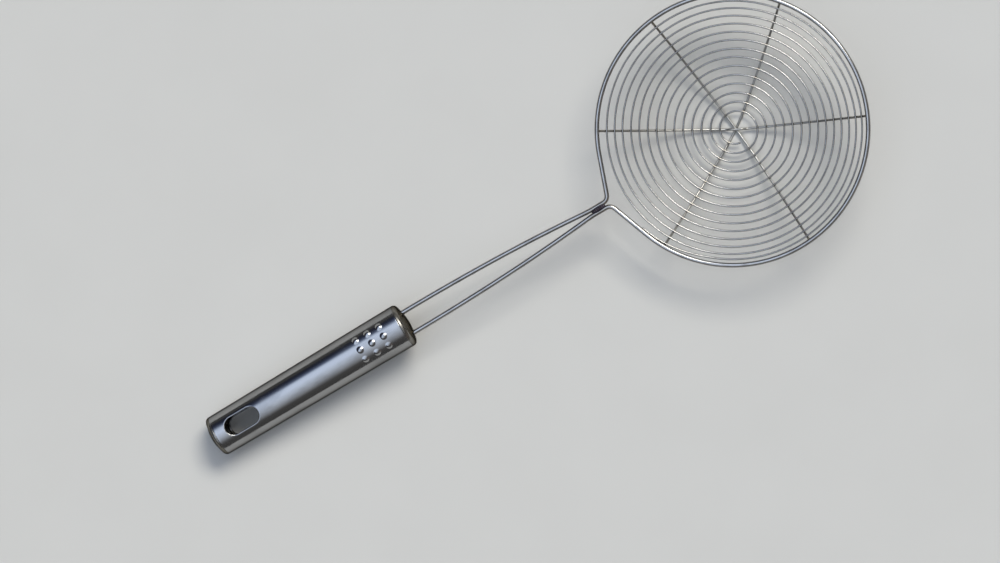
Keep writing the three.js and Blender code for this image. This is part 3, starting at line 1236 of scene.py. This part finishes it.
    def slot_outline(self, offset: float) -> Array:
        """Slot seen from above, widened by an offset: two straight sides between half circles.

        Args:
            offset: how far the outline lies outside the slot.

        Returns:
            Points (along, across) from the slot's middle, in step with the border of its patch.
        """
        radius = self.slot_width / 2 + offset
        half = (self.slot_length - self.slot_width) / 2
        eighth = radius * math.pi / 4
        run = np.linspace(0.0, 2 * eighth + 2 * half, self.slot_lines, endpoint=False)
        bent = np.clip(run, 0.0, eighth) + np.clip(run - eighth - 2 * half, 0.0, eighth)
        centre = np.clip(run - eighth, 0.0, 2 * half) - half
        side_turn = 1.25 * math.pi + bent / radius
        end_turn = np.linspace(-math.pi / 4, math.pi / 4, self.patch_lines, endpoint=False)
        side = np.stack([centre + radius * np.cos(side_turn), radius * np.sin(side_turn)], axis=1)
        end = np.stack([half + radius * np.cos(end_turn), radius * np.sin(end_turn)], axis=1)
        first = np.concatenate([side, end])
        return np.concatenate([first, -first])

    def patch_border(self) -> tuple[Array, Array]:
        """Border of the slot's patch, in step with the outline: distance back, and angle from the top."""
        low, high = self.slot_patch
        reach = math.radians(self.patch_turn)
        forth = np.linspace(low, high, self.slot_lines, endpoint=False)
        rising = np.linspace(-reach, reach, self.patch_lines, endpoint=False)
        back = np.concatenate(
            [
                forth,
                np.full(self.patch_lines, high),
                low + high - forth,
                np.full(self.patch_lines, low),
            ]
        )
        turn = np.concatenate(
            [
                np.full(self.slot_lines, -reach),
                rising,
                np.full(self.slot_lines, reach),
                -rising,
            ]
        )
        return back, turn

    def collar(self, below: bool) -> Surface:
        """Slot's edge with the wall round it: one closed profile carried round the slot's outline.

        The profile comes in over the tube's surface, turns down over a round edge, runs down the lip, rounds
        the lip's foot, climbs its outer side and goes out under the wall. A row is given by its offset from
        the slot, its depth below the surface and its share of the way out to the patch's border.

        Args:
            below: whether it is the slot in the handle's underside.

        Returns:
            The collar, whose two borders lie on the tube's outer and inner walls.
        """
        coarse, fine = 7, 9  # rows of the mesh on the profile's shorter and longer stretches
        bunching = 1.5  # power by which rows draw together towards the slot
        foot = self.wall + self.lip_depth - self.lip / 2
        quarter = np.linspace(0.0, math.pi / 2, coarse)
        around_foot = np.linspace(0.0, math.pi, fine)
        out = np.linspace(1.0, 0.0, fine) ** bunching
        spread = np.linspace(0.0, 1.0, coarse) ** bunching
        far = self.lip + self.foot_round
        offset = np.concatenate(
            [
                np.full(len(out), self.lip_round),
                self.lip_round * (1 - np.sin(quarter[1:])),
                self.lip / 2 * (1 - np.cos(around_foot)),
                far - self.foot_round * np.cos(quarter),
                np.full(len(spread) - 1, far),
            ]
        )
        depth = np.concatenate(
            [
                np.zeros(len(out)),
                self.lip_round * (1 - np.cos(quarter[1:])),
                foot + self.lip / 2 * np.sin(around_foot),
                self.wall + self.foot_round * (1 - np.sin(quarter)),
                np.full(len(spread) - 1, self.wall),
            ]
        )
        share = np.zeros(len(offset))
        share[: len(out)] = out
        share[-len(spread) + 1 :] = spread[1:]
        outlines = np.stack([self.slot_outline(each) for each in offset])
        border_back, border_turn = self.patch_border()
        back = self.slot_middle + outlines[..., 0]
        turn = np.arcsin(outlines[..., 1] / (self.radius(back) - depth[:, None]))
        back = back + share[:, None] * (border_back - back)
        turn = turn + share[:, None] * (border_turn - turn)
        if below:
            turn = math.pi - turn
        faces = grid_faces(len(offset), len(border_back)).reshape(-1, 4).tolist()
        return Surface.cold(self.point(back, turn, depth[:, None]), faces, self.front)

    def tube_lines(self) -> tuple[Array, Array, list[range]]:
        """Profile of the tube's wall as a closed loop: along the surface, round the butt, and back inside.

        Returns:
            Distance back and depth of each row, and the rows that cross the slot's patch, outside and inside.
        """
        start = self.cap_dome + self.cap_shoulder + self.seam
        end = self.length - start
        low, high = self.slot_patch
        edge = self.tube_edge
        edge_rows = 3  # rows of the mesh on the round of an edge
        outer_butt, inner_butt = self.butt_lines
        dots_start = self.dot_first - self.dot_width
        dots_end = self.dot_first + (self.dot_count - 1) * self.dot_pitch + self.dot_width
        patch = np.linspace(low, high, self.slot_lines + 1)
        outer = np.concatenate(
            [
                np.linspace(start + edge, dots_start, self.lead_lines, endpoint=False),
                np.linspace(dots_start, dots_end, self.dot_lines, endpoint=False),
                np.linspace(dots_end, low, self.grip_lines, endpoint=False),
                patch,
                np.linspace(high, end - edge, outer_butt + 1)[1:],
            ]
        )
        inner = np.concatenate(
            [
                np.linspace(end - edge, high, inner_butt, endpoint=False),
                patch[::-1],
                np.linspace(low, start + edge, self.inner_lines + 1)[1:],
            ]
        )
        quarter = np.linspace(0.0, math.pi / 2, edge_rows + 1)[1:]
        rounded = edge * np.sin(quarter)
        sunk = edge * (1 - np.cos(quarter))
        back = np.concatenate(
            [
                outer,
                end - edge + rounded,
                (end - edge + rounded)[::-1],
                inner,
                start + edge - rounded,
                (start + edge - rounded)[::-1],
            ]
        )
        depth = np.concatenate(
            [
                np.zeros(len(outer)),
                sunk,
                self.wall - sunk[::-1],
                np.full(len(inner), self.wall),
                self.wall - sunk,
                sunk[::-1],
            ]
        )
        outer_first = self.lead_lines + self.dot_lines + self.grip_lines
        inner_first = len(outer) + 2 * edge_rows + inner_butt
        rows = [range(first, first + self.slot_lines) for first in (outer_first, inner_first)]
        return back, depth, rows

    def tube(self) -> Surface:
        """Tube: the profile loop carried round the axis, open at the slot's patches, and two slot collars."""
        reach = math.radians(self.patch_turn)
        top = np.linspace(-reach, reach, self.patch_lines, endpoint=False)
        side = np.linspace(reach, math.pi - reach, self.side_lines, endpoint=False)
        turn = np.concatenate([top, side, top + math.pi, side + math.pi])
        back, depth, slot_rows = self.tube_lines()
        back_grid, turn_grid = np.broadcast_arrays(back[:, None], turn[None, :])
        raised = np.where(depth[:, None] == 0.0, self.dots(back_grid, turn_grid), 0.0)
        points = self.point(back_grid, turn_grid, depth[:, None] - raised)
        quads = grid_faces(len(back), len(turn), close_rows=True)
        keep = np.ones(quads.shape[:2], dtype=bool)
        below = self.patch_lines + self.side_lines
        for rows in slot_rows:
            keep[rows.start : rows.stop, : self.patch_lines] = False
            keep[rows.start : rows.stop, below : below + self.patch_lines] = False
        wall = Surface.cold(points, quads[keep].tolist(), self.front)
        return Surface.joined([wall, self.collar(below=False), self.collar(below=True)])

    def cap_profile(self, face_back: float) -> tuple[Array, Array]:
        """Profile of a cap: a domed face, a round shoulder flush with the tube, and a skirt inside the tube.

        Args:
            face_back: where the cap's face lies, back from the handle's front.

        Returns:
            Distance back from the front and radius of each point, from the axis round to the axis.
        """
        inwards = 1.0 if face_back == 0.0 else -1.0
        rim = self.cap_dome + self.cap_shoulder
        radius = float(self.radius(np.array(face_back)))
        skirt_end = face_back + inwards * (rim + self.cap_skirt)
        skirt = min(radius, float(self.radius(np.array(skirt_end)))) - self.wall - self.cap_seat
        edge = radius - self.cap_shoulder
        face_points, shoulder_points = 22, 18  # before they are evenly spaced
        share = np.linspace(0.0, 1.0, face_points)
        quarter = np.linspace(0.0, math.pi / 2, shoulder_points)[1:]
        outside = np.stack(
            [
                np.concatenate([self.cap_dome * share**2, rim - self.cap_shoulder * np.cos(quarter)]),
                np.concatenate([edge * share, edge + self.cap_shoulder * np.sin(quarter)]),
            ],
            axis=1,
        )
        outside = softened(resampled(outside, self.cap_step), self.cap_blend)
        hidden = np.array(
            [
                [rim, radius - self.cap_undercut],
                [rim, skirt],
                [rim + self.cap_skirt, skirt],
                [rim + self.cap_skirt, skirt - self.cap_wall],
                [self.cap_dome + self.cap_wall, skirt - self.cap_wall],
                [self.cap_dome + self.cap_wall, 0.0],
            ]
        )
        outside[0, 1] = 0.0
        depth, reach = np.concatenate([outside, hidden]).T
        return face_back + inwards * depth, reach

    def cap(self, face_back: float) -> Surface:
        """Cap: its profile turned about the handle's axis.

        Args:
            face_back: 0 for the front cap, the handle's length for the end cap.

        Returns:
            The cap's closed surface.
        """
        back, radius = self.cap_profile(face_back)
        return revolved(back, radius, self.front, self.cap_segments)

    def build(self, maker: Maker) -> None:
        """Make and dress the tube and its caps.

        Args:
            maker: what turns surfaces into pieces.
        """
        polished = POLISHED_TUBE.material()
        cap = PRESSED_CAP.material()
        maker.make("handle_tube_polished", self.tube(), polished, "handle_tube", merge=True)
        maker.make("front_cap_pressed", self.cap(0.0), cap, "front_cap", merge=True)
        maker.make("end_cap_pressed", self.cap(self.length), cap, "end_cap", merge=True)


# Brightness of the overhead strip in red, green and blue, for angles across it from the vertical in degrees:
# dim walls, a grey side, a bright cool middle, and a sharp fall to a dark wall on the other side.
STRIP_LIGHT = {
    -180.0: (0.3, 0.3, 0.28),
    -90.0: (0.1, 0.09, 0.08),
    -73.0: (0.31, 0.27, 0.25),
    -57.0: (0.18, 0.165, 0.155),
    -44.0: (0.12, 0.12, 0.125),
    -32.0: (0.34, 0.35, 0.37),
    -12.0: (0.74, 0.81, 0.94),
    -2.0: (0.94, 1.05, 1.24),
    18.0: (1.24, 1.42, 1.77),
    31.0: (1.18, 1.37, 1.72),
    42.0: (0.17, 0.22, 0.36),
    53.0: (0.04, 0.05, 0.09),
    72.0: (0.03, 0.03, 0.04),
    180.0: (0.3, 0.3, 0.28),
}


@dataclass(frozen=True)
class Studio:
    """Floor, soft light and camera.

    Attributes:
        floor_flat: radius of the floor's level middle, in metres.
        floor_reach: radius of the whole floor, in metres.
        floor_rise: how far its edge sweeps up, in metres.
        floor_colour: sRGB of the floor.
        floor_fleck: sRGB of its faint mottling.
        fleck_size: width of a fleck of the mottling, in metres.
        floor_roughness: of the floor's paint.
        floor_gloss: specular level of the floor's paint.
        floor_rings: rings of points on the floor's swept edge.
        floor_segments: points round the floor.
        tool_heading: direction of the tool in the picture, in degrees above level to the right.
        lean_along: how far the camera leans off the vertical towards the bowl, in degrees.
        lean_across: how far it leans off the vertical towards the tool's -Y side, in degrees.
        camera_height: from the rim to the camera, in metres.
        pixel_mm: size of a pixel at the rim.
        picture: width and height of the picture, in pixels.
        rim_pixel: where the rim's centre shows.
        sensor_mm: width of the camera's sensor.
        far_clip: farthest that the camera sees, in metres.
        strip_heading: direction in the picture along which the overhead light runs, in degrees.
        strip_ends: angles from the vertical between which the strip fades out at its ends, in degrees.
        wall_light: brightness of the walls past the strip's ends in red, green and blue.
        window_lean: angle of the window's middle from the vertical, in degrees.
        window_half: half angles of the window along the strip and across it, in degrees.
        window_edge: shares of the half angles between which the window's light fades out.
        window_light: brightness of the window in red, green and blue.
    """

    floor_flat: float = 8.0
    floor_reach: float = 14.0
    floor_rise: float = 0.4
    floor_colour: str = "#c8c6c0"
    floor_fleck: str = "#c3c1bb"
    fleck_size: float = 0.06
    floor_roughness: float = 0.95
    floor_gloss: float = 0.1
    floor_rings: int = 12
    floor_segments: int = 96
    tool_heading: float = 30.65
    lean_along: float = 2.4
    lean_across: float = 2.6
    camera_height: float = 4.0
    pixel_mm: float = 0.578
    picture: tuple[int, int] = (1000, 563)
    rim_pixel: tuple[float, float] = (732.2, 129.2)
    sensor_mm: float = 36.0
    far_clip: float = 200.0
    strip_heading: float = 65.0
    strip_ends: tuple[float, float] = (40.0, 62.0)
    wall_light: tuple[float, float, float] = (0.1, 0.1, 0.1)
    window_lean: float = 38.0
    window_half: tuple[float, float] = (10.0, 16.4)
    window_edge: tuple[float, float] = (0.75, 1.25)
    window_light: tuple[float, float, float] = (14.0, 13.5, 12.4)

    def floor(self) -> None:
        """Lay the pale floor: matt board with faint mottling.

        It is a disc, level in the middle, whose edge sweeps up as a parabola: point (i, j) is
        (r_i cos a_j, r_i sin a_j, h s_i^2), where s runs from 0 to 1 over the sweep.
        """
        rings, segments = self.floor_rings, self.floor_segments
        sweep = np.linspace(0.0, 1.0, rings)
        radius = self.floor_flat + (self.floor_reach - self.floor_flat) * sweep
        angle = ring_angles(segments)
        height = np.broadcast_to((self.floor_rise * sweep**2)[:, None], (rings, segments))
        points = np.stack([np.outer(radius, np.cos(angle)), np.outer(radius, np.sin(angle)), height], axis=-1)
        faces = [list(range(segments))] + grid_faces(rings, segments)[..., ::-1].reshape(-1, 4).tolist()
        mesh = bpy.data.meshes.new("floor")
        mesh.from_pydata(points.reshape(-1, 3), [], faces)
        # Matt painted board: an even pale grey that shows soft shadows and no gloss.
        material = bpy.data.materials.new("matt_painted_board")
        tree = cleared_tree(material)
        place = add_node(tree, "ShaderNodeTexCoord").outputs["Object"]
        fleck = add_node(
            tree,
            "ShaderNodeTexNoise",
            {"Vector": place, "Scale": 1.0 / self.fleck_size, "Detail": 3.0},
        ).outputs["Fac"]
        colour = add_node(
            tree,
            "ShaderNodeMix",
            {"Factor": fleck, 6: linear_colour(self.floor_colour), 7: linear_colour(self.floor_fleck)},
            data_type="RGBA",
        ).outputs[2]
        shader = add_node(
            tree,
            "ShaderNodeBsdfPrincipled",
            {
                "Base Color": colour,
                "Roughness": self.floor_roughness,
                "Specular IOR Level": self.floor_gloss,
            },
        ).outputs["BSDF"]
        add_node(tree, "ShaderNodeOutputMaterial", {"Surface": shader})
        mesh.materials.append(material)
        floor = bpy.data.objects.new("floor", mesh)
        bpy.context.scene.collection.objects.link(floor)
        floor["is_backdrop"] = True

    def light(self) -> None:
        """Light the world: a long soft strip overhead, a window at one end of it, and dim walls.

        The strip is a ramp over the angle from the vertical across the strip: cool and bright on one side,
        greyer on the other, and falling off to dim walls at about 40 degrees.
        """
        world = bpy.data.worlds.new("studio")
        bpy.context.scene.world = world
        tree = cleared_tree(world)
        heading = math.radians(self.strip_heading - self.tool_heading)
        direction = add_node(tree, "ShaderNodeTexCoord").outputs["Generated"]
        turned = add_node(
            tree,
            "ShaderNodeVectorRotate",
            {"Vector": direction, "Angle": -heading},
            rotation_type="Z_AXIS",
        ).outputs["Vector"]
        axes = add_node(tree, "ShaderNodeSeparateXYZ", {"Vector": turned})
        across = add_node(
            tree,
            "ShaderNodeMath",
            {0: axes.outputs["Y"], 1: axes.outputs["Z"]},
            operation="ARCTAN2",
        ).outputs[0]
        share = add_node(
            tree,
            "ShaderNodeMapRange",
            {"Value": across, "From Min": -math.pi, "From Max": math.pi},
        ).outputs["Result"]
        strip = add_node(tree, "ShaderNodeValToRGB", {"Fac": share})
        set_ramp(strip, [((angle + 180.0) / 360.0, (*light, 1.0)) for angle, light in STRIP_LIGHT.items()])
        along = add_node(
            tree,
            "ShaderNodeMath",
            {0: axes.outputs["X"], 1: axes.outputs["Z"]},
            operation="ARCTAN2",
        ).outputs[0]
        run = add_node(tree, "ShaderNodeMath", {0: along}, operation="ABSOLUTE").outputs[0]
        past = add_node(
            tree,
            "ShaderNodeMapRange",
            {
                "Value": run,
                "From Min": math.radians(self.strip_ends[0]),
                "From Max": math.radians(self.strip_ends[1]),
            },
            interpolation_type="SMOOTHSTEP",
        ).outputs["Result"]
        ceiling = add_node(
            tree,
            "ShaderNodeMix",
            {"Factor": past, 6: strip.outputs["Color"], 7: (*self.wall_light, 1.0)},
            data_type="RGBA",
        ).outputs[2]
        leaning = add_node(
            tree,
            "ShaderNodeMath",
            {0: along, 1: math.radians(self.window_lean)},
            operation="SUBTRACT",
        ).outputs[0]
        place = add_node(
            tree,
            "ShaderNodeCombineXYZ",
            {"X": leaning, "Y": axes.outputs["Y"]},
        ).outputs["Vector"]
        halves = [1.0 / math.radians(half) for half in self.window_half]
        scaled = add_node(
            tree,
            "ShaderNodeVectorMath",
            {0: place, 1: (*halves, 0.0)},
            operation="MULTIPLY",
        ).outputs["Vector"]
        off = add_node(tree, "ShaderNodeVectorMath", {0: scaled}, operation="LENGTH").outputs["Value"]
        window = add_node(
            tree,
            "ShaderNodeMapRange",
            {"Value": off, "From Min": self.window_edge[1], "From Max": self.window_edge[0]},
            interpolation_type="SMOOTHSTEP",
        ).outputs["Result"]
        total = add_node(
            tree,
            "ShaderNodeVectorMath",
            {0: window, 1: self.window_light, 2: ceiling},
            operation="MULTIPLY_ADD",
        ).outputs["Vector"]
        glow = add_node(tree, "ShaderNodeBackground", {"Color": total, "Strength": 1.0}).outputs["Background"]
        add_node(tree, "ShaderNodeOutputWorld", {"Surface": glow})

    def camera(self, placement: Placement) -> None:
        """Set the camera far above the tool, so that the rim's centre shows at its pixel.

        Args:
            placement: place of the tool in the row frame.
        """
        heading = math.radians(self.tool_heading)
        lean = [math.tan(math.radians(angle)) for angle in (self.lean_along, self.lean_across)]
        back = Vector((lean[0], -lean[1], 1.0)).normalized()
        side = back.cross(Vector((1.0, 0.0, 0.0))).normalized()
        ahead = side.cross(back)
        right = ahead * math.cos(heading) - side * math.sin(heading)
        up = ahead * math.sin(heading) + side * math.cos(heading)
        width, height = self.picture
        pixel = self.pixel_mm * MM
        off_right = (self.rim_pixel[0] - width / 2) * pixel
        off_up = (height / 2 - self.rim_pixel[1]) * pixel
        rim = Vector(placement.row(np.zeros(3)))
        place = rim + back * self.camera_height - right * off_right - up * off_up
        data = bpy.data.cameras.new("camera")
        data.type = "PERSP"
        data.sensor_fit = "HORIZONTAL"
        data.sensor_width = self.sensor_mm
        data.lens = data.sensor_width * self.camera_height / (width * pixel)
        data.clip_end = self.far_clip
        data.dof.use_dof = False
        camera = bpy.data.objects.new("camera", data)
        turn = Matrix((right, up, back)).transposed()
        camera.matrix_world = Matrix.Translation(place) @ turn.to_4x4()
        bpy.context.scene.collection.objects.link(camera)
        bpy.context.scene.camera = camera


def tool_placement(bowl: Bowl, stem_reach: float, handle: Handle) -> Placement:
    """Work out how the tool lies: on the flat under its bowl and on the round edge of its butt.

    Args:
        bowl: the bowl.
        stem_reach: from the bowl's centre to the handle's front.
        handle: the handle.

    Returns:
        The placement, with the middle of the tool's length over the origin.
    """
    butt = stem_reach + handle.length
    edge = handle.butt_diameter / 2 - handle.cap_shoulder
    reach = handle.cap_dome + handle.cap_shoulder - butt
    drop = bowl.rest_height - edge
    lift = math.asin(handle.cap_shoulder / math.hypot(reach, drop))
    tilt = math.pi - lift - math.atan2(drop, reach)
    cosine = math.cos(tilt)
    bulge = (edge * math.sin(tilt)) ** 2 / (4 * handle.cap_dome * cosine)
    far_side = bowl.rim_radius * cosine + bowl.gauges.frame / 2
    near_side = butt * cosine + bulge
    return Placement(tilt, ((near_side - far_side) / 2, 0.0, bowl.rest_height * cosine))


def main() -> None:
    """Load the frame, build and dress each sub-assembly, and set up the studio."""
    logging.basicConfig(level=logging.INFO, format="%(message)s")
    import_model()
    solid_box = [list(corner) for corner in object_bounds()]
    bowl = Bowl()
    frame_wire = FrameWire(bowl)
    handle = Handle(front=-frame_wire.stem_reach)
    placement = tool_placement(bowl, frame_wire.stem_reach, handle)
    maker = Maker(placement, solid_box)
    studio = Studio()
    studio.camera(placement)
    studio.floor()
    studio.light()
    bowl.build(maker)
    frame_wire.build(maker)
    handle.build(maker)
    bpy.context.scene.view_settings.view_transform = "Standard"


if __name__ == "__main__":
    main()
